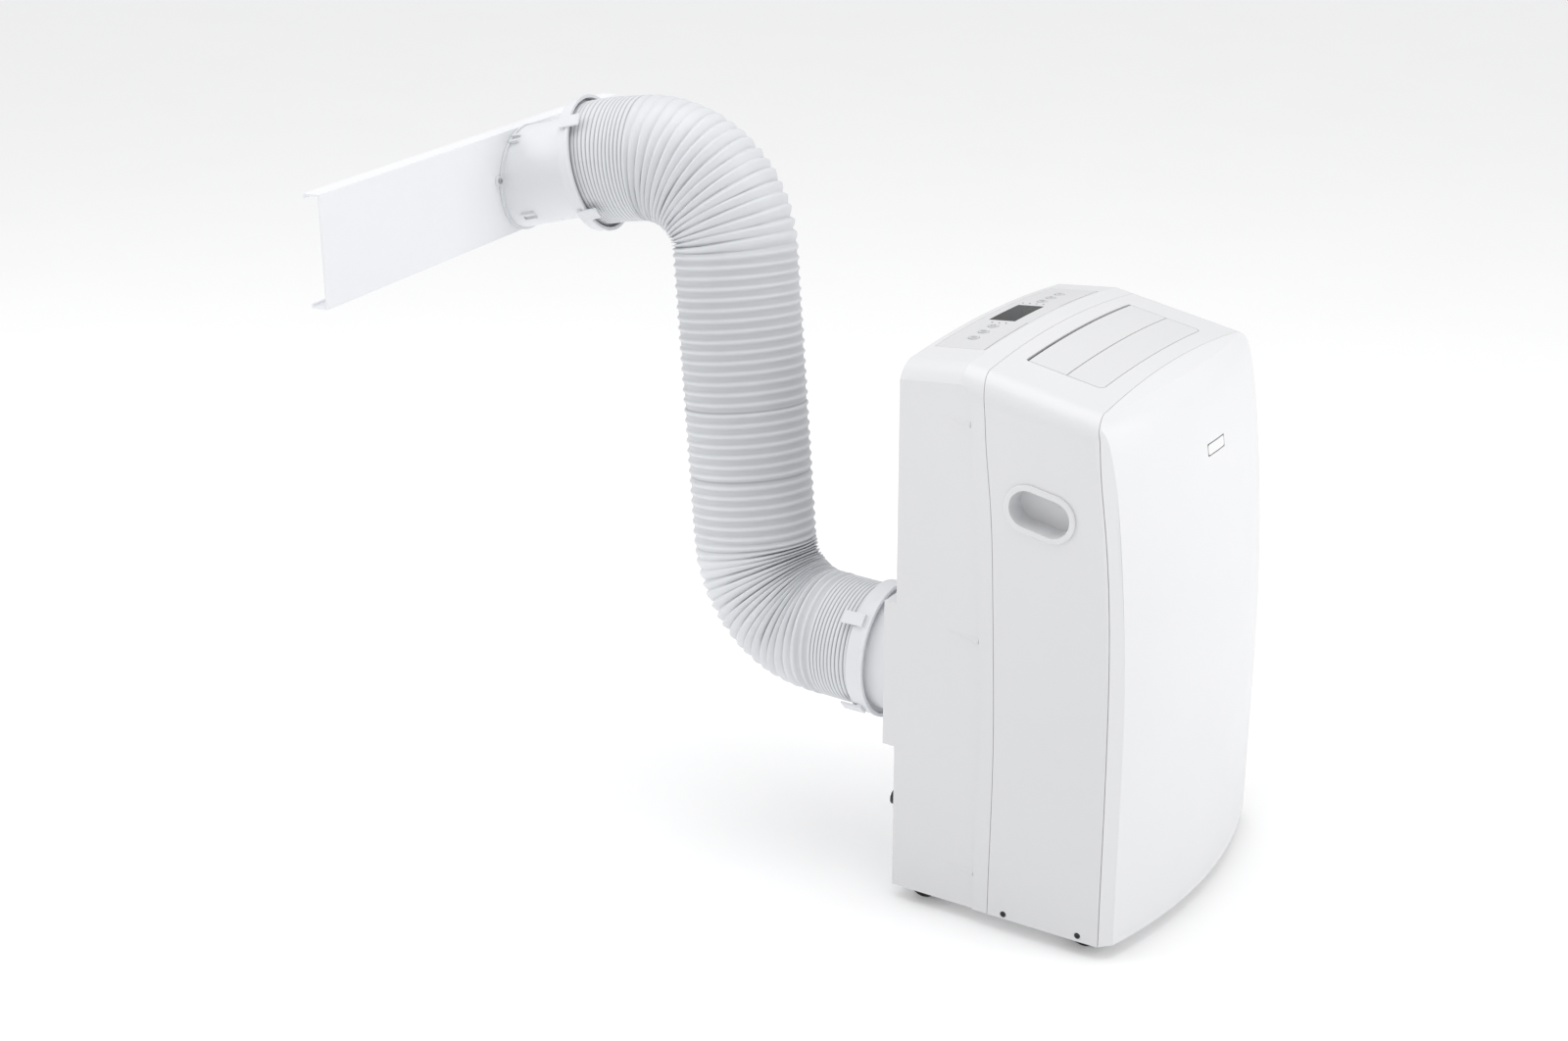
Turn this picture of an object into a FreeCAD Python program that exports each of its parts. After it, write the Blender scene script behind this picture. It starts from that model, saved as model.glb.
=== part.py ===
import FreeCAD, Part
import math
import os

V = FreeCAD.Vector
os.makedirs("parts", exist_ok=True)

# ---- portable air conditioner, millimetres; Z up, floor at 0, front faces -Y, X to the viewer's right
HALF_W = 217.0          # half width of the cabinet
REAR_Y = 160.0          # flat rear plane
BOTTOM_Z = 18.6         # lower rim of the cabinet
WALL = 2.8              # moulded wall
GAP = 0.35              # half of every visible seam
BOW = 30.0              # how far the middle of the front stands ahead of its corners
CROWN = 9.0             # how far the top sinks from the middle to the shoulders
SHOULDER = 32.0         # radius of the shoulders
CREASE_X = 203.0        # line where the front bends into its corner facets
TRAY_Z = 366.0          # wall between the room-air half and the outside-air half

OUT_X, OUT_Z = -125.0, 284.5      # centre of the exhaust outlet in the rear face
PLATE_Y = 176.0                   # rear face of the outlet frame
HOSE_R = 77.5                     # outside radius of the hose over its ribs
HOSE_WALL = 1.6

VANE_HALF = 138.0                 # half length of a vane
OPEN_HALF = 139.0                 # half length of the air opening
OPEN_REAR, OPEN_FRONT = 42.7, -52.0
VANE_SPLIT = -7.6
STEM_X, STEM_REAR, STEM_FRONT = 184.5, 126.0, -88.0
WHEEL_R, TRAIL = 19.0, 2.5

PANEL_YAW = 8.1                   # turn of the window panel about the vertical
PANEL_CORNER = V(-555.3, 692.1, 869.8)
PANEL_L, PANEL_H, PANEL_D = 680.0, 128.5, 21.0
FLANGE_AT = 437.5                 # connector centre along the panel

RIDGE_Y, RIDGE_Z = 84.0, 694.0    # highest line of the top
FALL_FRONT, FALL_REAR = 0.199, 0.08
BOW_R = (CREASE_X ** 2 + BOW ** 2) / (2.0 * BOW)
AXIS_Y = -127.0 - BOW + BOW_R     # vertical axis about which the bowed front is turned

# front of the body on its middle plane, (y, z) from above the roll down to the floor
FRONT_LINE = [(0.0, 702.0), (-40.0, 681.0), (-75.0, 667.5), (-98.0, 658.5), (-110.0, 650.0),
              (-119.0, 638.0), (-126.0, 617.0), (-131.0, 592.0), (-138.5, 540.0), (-150.3, 415.0),
              (-155.5, 310.0), (-157.0, 180.0), (-157.0, 60.0), (-157.0, -20.0)]
SEAM_REAR = [(70.0, 720.0), (66.5, 700.0), (56.0, 665.0), (50.0, 610.0), (43.0, 547.0), (34.0, 403.0),
             (28.0, 230.0), (29.0, 67.0), (29.0, 0.0)]
SEAM_FRONT = [(-68.0, 720.0), (-72.0, 668.0), (-80.0, 646.0), (-87.0, 603.0), (-95.0, 542.0),
              (-105.0, 449.0), (-112.0, 300.0), (-113.5, 146.0), (-114.0, 0.0)]
CREASE = [(-62.0, 760.0), (-82.0, 672.0), (-94.0, 626.0), (-107.0, 540.0), (-119.5, 415.0), (-126.0, 290.0),
          (-127.5, 160.0), (-127.0, -30.0)]
RIDGE = [(100.0, 720.0), (93.0, 690.0), (77.0, 664.0), (70.0, 640.0), (66.0, 585.0), (60.0, 511.0),
         (52.0, 390.0), (47.0, 277.0), (48.0, 171.0), (49.0, 61.0), (49.0, 0.0)]


def save(shape, name):
    """Write one named piece."""
    if shape.ShapeType == "Compound" and len(shape.Solids) == 1:
        shape = shape.Solids[0]
    shape.exportStep("parts/" + name + ".step")


def box(x0, x1, y0, y1, z0, z1):
    return Part.makeBox(x1 - x0, y1 - y0, z1 - z0, V(x0, y0, z0))


def cyl(r, start, end):
    """Cylinder between two points."""
    axis = end - start
    return Part.makeCylinder(r, axis.Length, start, axis)


def along_y(r, x, z, y0, y1):
    """Cylinder parallel to Y."""
    return cyl(r, V(x, y0, z), V(x, y1, z))


def tube(r_out, r_in, start, end):
    axis = (end - start).normalize()
    return cyl(r_out, start, end).cut(cyl(r_in, start - axis, end + axis))


def at_yz(points, x):
    return [V(x, y, z) for y, z in points]


def spline(points):
    curve = Part.BSplineCurve()
    curve.interpolate(points)
    return curve.toShape()


def prism_yz(points, x0, x1):
    """Straight-sided outline in the YZ plane carried along X."""
    ring = at_yz(points, x0)
    return Part.Face(Part.makePolygon(ring + [ring[0]])).extrude(V(x1 - x0, 0, 0))


def slot_yz(length, width, centre, angle, x0, x1):
    """Rounded-end slot in the side wall, long axis turned about X."""
    r = width / 2.0
    s = (length - width) / 2.0
    solid = box(x0, x1, -s, s, -r, r)
    for end in (-s, s):
        solid = solid.fuse(cyl(r, V(x0, end, 0), V(x1, end, 0)))
    solid = solid.removeSplitter()
    solid.rotate(V(0, 0, 0), V(1, 0, 0), angle)
    solid.translate(V(0, centre[0], centre[1]))
    return solid


def behind(curve, shift, x0=-260.0, x1=260.0):
    """Everything on the +Y side of a side-view curve, for cutting a seam."""
    pts = [(y + shift, z) for y, z in curve]
    edge = spline(at_yz(pts, x0))
    top, low = pts[0], pts[-1]
    back = Part.makePolygon(at_yz([low, (400.0, low[1]), (400.0, top[1]), top], x0))
    return Part.Face(Part.Wire([edge] + back.Edges)).extrude(V(x1 - x0, 0, 0))


def arc_xz(p, q, r):
    return Part.Arc(V(p[0], 0, p[1]), V(q[0], 0, q[1]), V(r[0], 0, r[1])).toShape()


def roof(inset, side, drop):
    """Crowned top with round shoulders, falling both ways from its ridge."""
    half = HALF_W - side
    r = SHOULDER - inset
    flat = half - r
    z0 = RIDGE_Z - inset - drop
    z1 = z0 - CROWN
    k = r * math.sqrt(0.5)
    edges = [arc_xz((-flat, z1), (0, z0), (flat, z1))]
    edges.append(arc_xz((flat, z1), (flat + k, z1 - r + k), (half, z1 - r)))
    edges.append(Part.makeLine(V(half, 0, z1 - r), V(half, 0, -160)))
    edges.append(Part.makeLine(V(half, 0, -160), V(-half, 0, -160)))
    edges.append(Part.makeLine(V(-half, 0, -160), V(-half, 0, z1 - r)))
    edges.append(arc_xz((-half, z1 - r), (-flat - k, z1 - r + k), (-flat, z1)))
    face = Part.Face(Part.Wire(edges))
    face.translate(V(0, RIDGE_Y, 0))
    ahead = face.extrude(V(0, -320.0, -320.0 * FALL_FRONT))
    back = face.extrude(V(0, 140.0, -140.0 * FALL_REAR))
    return ahead.fuse(back)


def bowed_front(inset):
    """Body of revolution whose outside is the bowed, rolled front."""
    pts = [(y + inset, z - inset if y > -115.0 else z) for y, z in FRONT_LINE]
    edge = spline(at_yz(pts, 0.0))
    low, top = pts[-1], pts[0]
    back = Part.makePolygon(at_yz([low, (240.0, low[1]), (240.0, top[1]), top], 0.0))
    face = Part.Face(Part.Wire([edge] + back.Edges))
    face.rotate(V(0, AXIS_Y, 0), V(0, 0, 1), -48.0)
    return face.revolve(V(0, AXIS_Y, 0), V(0, 0, 1), 96.0)


def corner_cut(sign, inset):
    """Tool that planes the facet between front and side."""
    pts = [(y + inset * 0.4, z) for y, z in CREASE]
    start = sign * (CREASE_X - inset * 0.4)
    edge = spline(at_yz(pts, start))
    ahead = [pts[-1], (-300.0, pts[-1][1]), (-300.0, pts[0][1]), pts[0]]
    face = Part.Face(Part.Wire([edge] + Part.makePolygon(at_yz(ahead, start)).Edges))
    return face.extrude(V(sign * 60.0, 60.0, 0))


def envelope(inset=0.0, side_inset=None, drop=0.0, low=BOTTOM_Z):
    """Solid body outline, shrunk by inset; drop lowers only the top."""
    side = inset if side_inset is None else side_inset
    body = roof(inset, side, drop).common(bowed_front(inset))
    plan = box(-260, 260, -260, REAR_Y - inset, low, 760)
    body = body.common(plan)
    for sign in (-1, 1):
        body = body.cut(corner_cut(sign, inset))
    return body


def rounded_path(points, bend):
    """Straight runs joined by tangent arcs."""
    edges = []
    here = points[0]
    for i in range(1, len(points) - 1):
        a = (points[i - 1] - points[i]).normalize()
        b = (points[i + 1] - points[i]).normalize()
        half = a.getAngle(b) / 2.0
        reach = bend / math.tan(half)
        start = points[i] + a * reach
        end = points[i] + b * reach
        mid = points[i] + (a + b).normalize() * (bend / math.sin(half) - bend)
        edges.append(Part.makeLine(here, start))
        edges.append(Part.Arc(start, mid, end).toShape())
        here = end
    edges.append(Part.makeLine(here, points[-1]))
    return Part.Wire(edges)


def turned(profile, foot, direction):
    """Ring whose section is given as (distance along the axis, radius)."""
    points = [V(r, 0, d) for d, r in profile]
    solid = Part.Face(Part.makePolygon(points + points[:1])).revolve(V(0, 0, 0), V(0, 0, 1), 360)
    solid.Placement = FreeCAD.Placement(foot, FreeCAD.Rotation(V(0, 0, 1), direction))
    return solid


def swept(points, bend, radius):
    """Round bar along a bent path."""
    ring = Part.Wire(Part.makeCircle(radius, points[0], points[1] - points[0]))
    return rounded_path(points, bend).makePipeShell([ring], True, True)


def top_z(x, y):
    """Height of the top surface."""
    fall = FALL_FRONT * (RIDGE_Y - y) if y < RIDGE_Y else FALL_REAR * (y - RIDGE_Y)
    return RIDGE_Z - CROWN * (x / (HALF_W - SHOULDER)) ** 2 - fall


def fused(shapes):
    whole = shapes[0]
    if len(shapes) > 1:
        whole = whole.multiFuse(shapes[1:])
    return whole


outer = envelope()
hollow = envelope(WALL, low=5.0)
outlet = V(OUT_X, 0, OUT_Z)

# ---- rear shell: double-thick sides so that the side panels can be sunk behind the ridge line
rear = outer.cut(envelope(WALL, side_inset=5.4, low=5.0)).common(behind(SEAM_REAR, GAP))
for sign in (-1, 1):
    x0, x1 = sorted((sign * (HALF_W - 2.4), sign * 260.0))
    rear = rear.cut(behind(RIDGE, 0.0, x0, x1))
wedges = []
WEDGES = (((114.0, 630.0), (69.5, 622.0)),
          ((105.0, 372.0), (51.5, 366.0)),
          ((103.0, 75.0), (49.5, 67.0)))
for tip, foot in WEDGES:
    for sign in (-1, 1):
        base = sign * (HALF_W - 2.8)
        peak = V(sign * (HALF_W - 0.2), foot[0] + 1.0, foot[1] - 3.0)
        a = V(base, tip[0], tip[1])
        b = V(base, foot[0], foot[1] + 5.0)
        c = V(base, foot[0], foot[1] - 5.0)
        faces = [Part.Face(Part.makePolygon([p, q, r, p]))
                 for p, q, r in ((a, b, c), (a, b, peak), (b, c, peak), (c, a, peak))]
        solid = Part.Solid(Part.Shell(faces))
        if solid.Volume < 0:
            solid.reverse()
        wedges.append(solid)
# outlet frame: a raised box flush with the left side, holding the exhaust outlet
frame_box = box(-214.4, -44.0, 157.4, PLATE_Y, 204.0, 388.0)
rear = fused([rear, frame_box] + wedges)
rear = rear.cut(box(-211.6, -46.8, 150.0, PLATE_Y - 2.8, 206.8, 385.2))
rear = rear.cut(cyl(68.2, V(OUT_X, 150, OUT_Z), V(OUT_X, 190, OUT_Z)))
# intake openings: one large for the filter, rows of slots for the outside-air coil
rear = rear.cut(box(-165, 165, 150, 170, 402, 648))
slots = []
for row in range(12):
    for x0 in (-14.0, 92.0):
        slots.append(box(x0, x0 + 98.0, 150, 170, 66.0 + row * 23.0, 66.0 + row * 23.0 + 12.0))
rear = rear.cut(Part.makeCompound(slots))
spouts = [(60.0, 380.0), (-110.0, 36.0)]
for x, z in spouts:
    rear = rear.fuse(cyl(8.0, V(x, 157.6, z), V(x, 168.0, z)))
    rear = rear.cut(cyl(6.0, V(x, 150.0, z), V(x, 170.0, z)))
rear = rear.cut(cyl(9.3, V(-185.0, 150.0, 120.0), V(-185.0, 170.0, 120.0)))
# sunk field for the control panel
sunk = outer.cut(envelope(drop=1.5)).common(box(-150, 150, 88, 152, 640, 760))
rear = rear.cut(sunk)
rear = rear.cut(box(-38.6, 38.6, 106.9, 141.1, 640, 760))
KEYS = {"power": -112.0, "timer": -88.0, "mode": -64.0, "fan_speed": 64.0, "cooler": 88.0, "warmer": 112.0}
KEY_Y = 122.0
for x in KEYS.values():
    rear = rear.cut(cyl(6.8, V(x, KEY_Y, 640), V(x, KEY_Y, 760)))
save(rear, "rear_shell")

# ---- control panel, display and keys
film = outer.cut(envelope(drop=1.2))
field = box(-149.6, 149.6, 89.7, 151.6, 640, 760).fuse(box(-42, 42, 88.4, 91, 640, 760))
overlay = film.common(field).cut(box(-38.6, 38.6, 106.9, 141.1, 640, 760))
for x in KEYS.values():
    overlay = overlay.cut(cyl(6.8, V(x, KEY_Y, 640), V(x, KEY_Y, 760)))
save(overlay, "control_overlay")
lens = outer.cut(envelope(drop=3.4)).common(box(-38.2, 38.2, 107.3, 140.7, 640, 760))
lens = lens.common(envelope(drop=0.25))
save(lens, "display_window")
for name, x in KEYS.items():
    z = top_z(x, KEY_Y)
    cap = cyl(6.4, V(x, KEY_Y, z - 4.6), V(x, KEY_Y, z + 1.0))
    rim = [e for e in cap.Edges if abs(e.BoundBox.ZMin - z - 1.0) < 0.01 and e.BoundBox.ZLength < 0.01]
    cap = cap.makeFillet(0.7, rim)
    key = fused([cap, cyl(8.2, V(x, KEY_Y, z - 6.4), V(x, KEY_Y, z - 4.6)),
                 cyl(2.4, V(x, KEY_Y, z - 11.0), V(x, KEY_Y, z - 6.4))])
    save(key.removeSplitter(), "key_" + name)
board_z = top_z(112.0, KEY_Y) - 14.0
board = box(-140, 140, 100, 146, board_z - 1.6, board_z)
parts_on = [box(-36, 36, 108.5, 139.5, board_z, board_z + 6.0),
            box(-132, -118, 104, 112, board_z - 9, board_z - 1.6),
            box(50, 74, 106, 124, board_z - 7, board_z - 1.6)]
save(fused([board] + parts_on), "control_board")

# ---- middle shell with louver opening and handle openings
mid = outer.cut(hollow).common(behind(SEAM_FRONT, GAP)).cut(behind(SEAM_REAR, -GAP))
mouth = box(-OPEN_HALF, OPEN_HALF, OPEN_FRONT, OPEN_REAR, 600, 760)
fronts = [e for e in mouth.Edges if e.BoundBox.ZLength > 100 and e.BoundBox.YMax < 0]
mouth = mouth.makeFillet(8.0, fronts)
backs = [e for e in mouth.Edges if e.BoundBox.ZLength > 100 and e.BoundBox.YMin > 40]
mouth = mouth.makeFillet(3.0, backs)
mid = mid.cut(mouth)
HANDLE = (-19.0, 534.0)
TILT = 11.0
SCREWS = [(8.0, 24.5), (-88.0, 26.0)]
for sign in (-1, 1):
    x0, x1 = sorted((sign * 205.0, sign * 225.0))
    mid = mid.cut(slot_yz(80.0, 49.0, HANDLE, TILT, x0, x1))
    for y, z in SCREWS:
        mid = mid.cut(cyl(3.9, V(x0, y, z), V(x1, y, z)))
save(mid, "middle_shell")

# ---- front panel with the receiver window
front = outer.cut(hollow).cut(behind(SEAM_FRONT, -GAP))
front = front.cut(box(-24.0, 24.0, -200, -80, 564.6, 579.4))
save(front, "front_panel")
eye = outer.cut(envelope(2.0)).common(box(-23.6, 23.6, -200, -80, 565.0, 579.0))
save(eye, "receiver_window")

# ---- handle pockets
for sign, name in ((-1, "handle_left"), (1, "handle_right")):
    def span(a, b):
        return sorted((sign * a, sign * b))
    a0, a1 = span(HALF_W + 0.3, HALF_W + 2.6)
    b0, b1 = span(187.0, HALF_W + 2.0)
    c0, c1 = span(189.4, 230.0)
    rim = slot_yz(88.0, 57.0, HANDLE, TILT, a0, a1)
    edge_x = sign * (HALF_W + 2.6)
    rounds = [e for e in rim.Edges if abs(e.BoundBox.XMin - edge_x) < 0.01 and e.BoundBox.XLength < 0.01]
    rim = rim.makeFillet(1.6, rounds)
    cup = rim.fuse(slot_yz(79.2, 48.2, HANDLE, TILT, b0, b1))
    cup = cup.cut(slot_yz(74.4, 43.4, HANDLE, TILT, c0, c1))
    save(cup.removeSplitter(), name)

# ---- base pan with four caster wells and three seats for the compressor
CX, CY = 95.0, -20.0      # axis of the compressor
compressor_feet = [(CX + 50 * math.cos(a), CY + 50 * math.sin(a)) for a in (0.5, 2.6, 4.7)]
pan = envelope(3.4, side_inset=6.0, low=19.0).common(box(-230, 230, -230, 230, 19.0, 46.8))
pan = pan.cut(envelope(5.8, side_inset=8.4, low=10.0).common(box(-230, 230, -230, 230, 21.4, 60.0)))
stems = [(sx * STEM_X, sy) for sx in (-1, 1) for sy in (STEM_FRONT, STEM_REAR)]
adds = [cyl(26.0, V(x, y, 19.0), V(x, y, 46.8)) for x, y in stems]
adds += [cyl(8.0, V(x, y, 46.0), V(x, y, 62.0)) for x, y in stems]
adds += [cyl(15.0, V(x, y, 21.0), V(x, y, 26.0)) for x, y in compressor_feet]
pan = fused([pan] + adds)
cuts = [cyl(24.0, V(x, y, 10.0), V(x, y, 44.4)) for x, y in stems]
cuts += [cyl(4.06, V(x, y, 40.0), V(x, y, 70.0)) for x, y in stems]
cuts += [cyl(8.6, V(spouts[1][0], 140, spouts[1][1]), V(spouts[1][0], 170, spouts[1][1]))]
for y, z in SCREWS:
    cuts.append(cyl(2.2, V(-230, y, z), V(-190, y, z)))
    cuts.append(cyl(2.2, V(190, y, z), V(230, y, z)))
for c in cuts:
    pan = pan.cut(c)
save(pan.removeSplitter(), "base_pan")

screws = []
for sign in (-1, 1):
    for y, z in SCREWS:
        head = cyl(3.5, V(sign * 214.0, y, z), V(sign * 217.4, y, z))
        head = head.cut(box(*sorted((sign * 216.2, sign * 220.0)), y - 2.2, y + 2.2, z - 0.45, z + 0.45))
        head = head.cut(box(*sorted((sign * 216.2, sign * 220.0)), y - 0.45, y + 0.45, z - 2.2, z + 2.2))
        screws.append(head.fuse(cyl(1.8, V(sign * 208.9, y, z), V(sign * 214.2, y, z))))
save(Part.makeCompound(screws), "cabinet_screws")

# ---- middle tray between the two halves
tray = envelope(3.4, side_inset=6.0, low=TRAY_Z - 2.0)
tray = tray.common(box(-230, 230, -230, 230, TRAY_Z, TRAY_Z + 14.0))
tray = tray.cut(envelope(5.8, side_inset=8.4, low=100.0).common(box(-230, 230, -230, 230, TRAY_Z + 2.4, 500)))
tray = tray.cut(cyl(9.0, V(185, 60, TRAY_Z - 5), V(185, 60, TRAY_Z + 20)))
tray = tray.cut(cyl(9.0, V(185, 88, TRAY_Z - 5), V(185, 88, TRAY_Z + 20)))
tray = tray.cut(cyl(8.6, V(spouts[0][0], 140, spouts[0][1]), V(spouts[0][0], 170, spouts[0][1])))
save(tray.removeSplitter(), "middle_tray")

# ---- outlet duct under the louver, with the rail that carries the deflector fins
FIN_Y, RAIL_Z = -5.0, 612.0
duct = box(-143.6, 143.6, -55.6, 49.4, 604.0, 700.0).cut(box(-141.4, 141.4, -53.4, 47.2, 600.0, 720.0))
duct = duct.fuse(box(-142.0, 142.0, FIN_Y - 6.0, FIN_Y + 6.0, RAIL_Z - 6.0, RAIL_Z))
duct = duct.common(envelope(3.2, low=5.0))
PIVOTS = {"rear": (14.0, 668.0), "front": (-29.7, 659.0)}
for y, z in PIVOTS.values():
    duct = duct.cut(cyl(2.06, V(-150, y, z), V(150, y, z)))
FINS = [-105.0, -35.0, 35.0, 105.0]
for x in FINS:
    duct = duct.cut(cyl(2.06, V(x, FIN_Y, 600), V(x, FIN_Y, 620)))
save(duct.removeSplitter(), "outlet_duct")

CRANK = 11.0
CRANK_LEAN = math.radians(-38.0)      # crank direction with the vanes shut, measured in the y-z plane
crank = (CRANK * math.cos(CRANK_LEAN), CRANK * math.sin(CRANK_LEAN))
skin = outer.cut(envelope(2.4))
spans = {"rear": (VANE_SPLIT + 0.6, OPEN_REAR - 3.7), "front": (OPEN_FRONT + 0.8, VANE_SPLIT - 0.6)}
for name, (y0, y1) in spans.items():
    py, pz = PIVOTS[name]
    blade = box(-VANE_HALF, VANE_HALF, y0, y1, 640, 760)
    if name == "front":
        corners = [e for e in blade.Edges if e.BoundBox.ZLength > 100 and e.BoundBox.YMax < y0 + 1]
        blade = blade.makeFillet(7.2, corners)
    vane = skin.common(blade)
    lugs = []
    for sign in (-1, 1):
        x0, x1 = sorted((sign * 133.6, sign * 136.0))
        lugs.append(box(x0, x1, py - 5.0, py + 5.0, pz - 4.0, 700.0).common(envelope(1.2)))
        p0, p1 = sorted((sign * 135.0, sign * 143.0))
        lugs.append(cyl(2.0, V(p0, py, pz), V(p1, py, pz)))
    middle = (py + crank[0] / 2.0, pz + crank[1] / 2.0)
    lugs.append(slot_yz(CRANK + 7.0, 7.0, middle, math.degrees(CRANK_LEAN), -136.0, -133.6))
    lugs.append(cyl(1.5, V(-134.0, py + crank[0], pz + crank[1]), V(-141.1, py + crank[0], pz + crank[1])))
    save(fused([vane] + lugs).removeSplitter(), "vane_" + name)
ends = [(y + crank[0], z + crank[1]) for y, z in PIVOTS.values()]
lean = math.degrees(math.atan2(ends[0][1] - ends[1][1], ends[0][0] - ends[1][0]))
length = math.hypot(ends[0][0] - ends[1][0], ends[0][1] - ends[1][1])
centre = ((ends[0][0] + ends[1][0]) / 2.0, (ends[0][1] + ends[1][1]) / 2.0)
link = slot_yz(length + 7.0, 7.0, centre, lean, -140.9, -139.3)
for y, z in ends:
    link = link.cut(cyl(1.56, V(-150, y, z), V(-130, y, z)))
save(link, "vane_link")

for i, x in enumerate(FINS):
    plate = prism_yz([(-40, 614), (-34, 634), (26, 634), (30, 628), (30, 614)], x - 0.8, x + 0.8)
    fin = fused([plate, cyl(2.0, V(x, FIN_Y, 602.0), V(x, FIN_Y, 614.5)),
                 cyl(3.6, V(x, FIN_Y, 612.5), V(x, FIN_Y, 616.5)),
                 cyl(1.5, V(x, FIN_Y + 22, 632.0), V(x, FIN_Y + 22, 640.0))])
    save(fin, "deflector_fin_%d" % (i + 1))
bar = box(-111, 111, FIN_Y + 18, FIN_Y + 26, 635.0, 637.4)
for x in FINS:
    bar = bar.cut(cyl(1.56, V(x, FIN_Y + 22, 630), V(x, FIN_Y + 22, 650)))
save(bar, "deflector_bar")
boss = cyl(4.0, V(143.9, 16.0, 658.0), V(145.0, 16.0, 658.0))
save(box(144.2, 166.0, 4.0, 28.0, 648.0, 668.0).fuse(boss), "vane_motor")

# ---- room-air half: filter grille, coil, blower
SCROLL_Z = 487.0
grille = box(-164.6, 164.6, 157.0, 159.7, 402.4, 647.6)
holes = []
for row in range(16):
    for x0 in (-156.0, 3.0):
        holes.append(box(x0, x0 + 153.0, 150, 165, 411.0 + row * 14.4, 411.0 + row * 14.4 + 9.4))
grille = grille.cut(Part.makeCompound(holes))
screen = box(-160, 160, 153.4, 157.2, 406, 644).cut(box(-154, 154, 150, 160, 412, 638))
ribs = [box(x - 1.0, x + 1.0, 154.0, 156.4, 408, 642) for x in (-102.0, -51.0, 0.0, 51.0, 102.0)]
ribs += [box(-156, 156, 154.0, 156.4, z - 1.0, z + 1.0) for z in (468.0, 525.0, 582.0)]
pull = box(-18, 18, 159.0, 162.5, 640.5, 645.5)
save(fused([grille, screen, pull] + ribs).removeSplitter(), "filter_grille")


def coil(x0, x1, y0, y1, z0, z1, rows):
    """Finned block with end plates and return bends at both ends."""
    parts = [box(x0, x1, y0, y1, z0, z1), box(x0 - 1.5, x0, y0 - 2, y1 + 2, z0 - 2, z1 + 2),
             box(x1, x1 + 1.5, y0 - 2, y1 + 2, z0 - 2, z1 + 2)]
    pitch = (z1 - z0) / rows
    for k in range(rows // 2):
        z = z0 + pitch * (2 * k + 1)
        y = (y0 + y1) / 2.0
        bend = Part.makeTorus(pitch / 2.0, 3.5, V(0, 0, 0), V(0, 1, 0), -180, 180, 180)
        bend.rotate(V(0, 0, 0), V(0, 1, 0), 90)
        bend.translate(V(x1 + 1.0, y, z))
        parts.append(bend)
        other = Part.makeTorus(pitch / 2.0, 3.5, V(0, 0, 0), V(0, 1, 0), -180, 180, 180)
        other.rotate(V(0, 0, 0), V(0, 1, 0), -90)
        other.translate(V(x0 - 1.0, y, z + (pitch if k < rows // 2 - 1 else 0)))
        parts.append(other)
    return fused(parts)


upper = coil(-168, 168, 118, 146, 388, 640, 12)
upper = fused([upper] + [box(x, x + 20, 122, 142, TRAY_Z + 2.4, 388.5) for x in (-150, 110)])
save(upper, "evaporator_coil")
lower = coil(-8, 186, 118, 146, 66, 344, 12)
lower = fused([lower, box(2, 18, 122, 142, 21.4, 66.5), box(124, 140, 122, 142, 21.4, 66.5)])
save(lower, "condenser_coil")

scroll = along_y(112.0, 0, SCROLL_Z, -57, 43).fuse(box(-112, 112, -57, 43, SCROLL_Z, 603.4))
hole = along_y(109.6, 0, SCROLL_Z, -54.6, 40.6).fuse(box(-109.6, 109.6, -54.6, 40.6, SCROLL_Z, 620))
for bore in (hole, along_y(78, 0, SCROLL_Z, 30, 50), along_y(12, 0, SCROLL_Z, -70, -40)):
    scroll = scroll.cut(bore)
feet = [box(x - 12, x + 12, -50, 36, TRAY_Z + 2.4, SCROLL_Z - 95) for x in (-60.0, 60.0)]
solid_drum = along_y(110.5, 0, SCROLL_Z, -60, 50)
scroll = fused([scroll] + [f.cut(solid_drum) for f in feet])
save(scroll.removeSplitter(), "blower_housing")

blades = []
for k in range(24):
    blade = box(82.0, 99.0, -46.0, 30.0, -0.8, 0.8)
    blade.rotate(V(90, 0, 0), V(0, 1, 0), 35)
    blade.rotate(V(0, 0, 0), V(0, 1, 0), k * 15.0)
    blades.append(blade)
disc = cyl(98, V(0, -48, 0), V(0, -45, 0))
rim = tube(98, 88, V(0, 28, 0), V(0, 31, 0))
hub = cyl(14, V(0, -50, 0), V(0, -20, 0))
wheel = fused([disc, rim, hub] + blades).cut(cyl(4.06, V(0, -60, 0), V(0, 0, 0)))
wheel.translate(V(0, 0, SCROLL_Z))
save(wheel, "blower_wheel")
motor = fused([along_y(42, 0, SCROLL_Z, -104, -66), along_y(18, 0, SCROLL_Z, -66, -60),
               along_y(4, 0, SCROLL_Z, -60, -22),
               box(-50, 50, -72, -69, SCROLL_Z - 10, SCROLL_Z + 10),
               box(44, 50, -70, -57.4, SCROLL_Z - 10, SCROLL_Z + 10),
               box(-50, -44, -70, -57.4, SCROLL_Z - 10, SCROLL_Z + 10)])
save(motor.removeSplitter(), "blower_motor")

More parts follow.
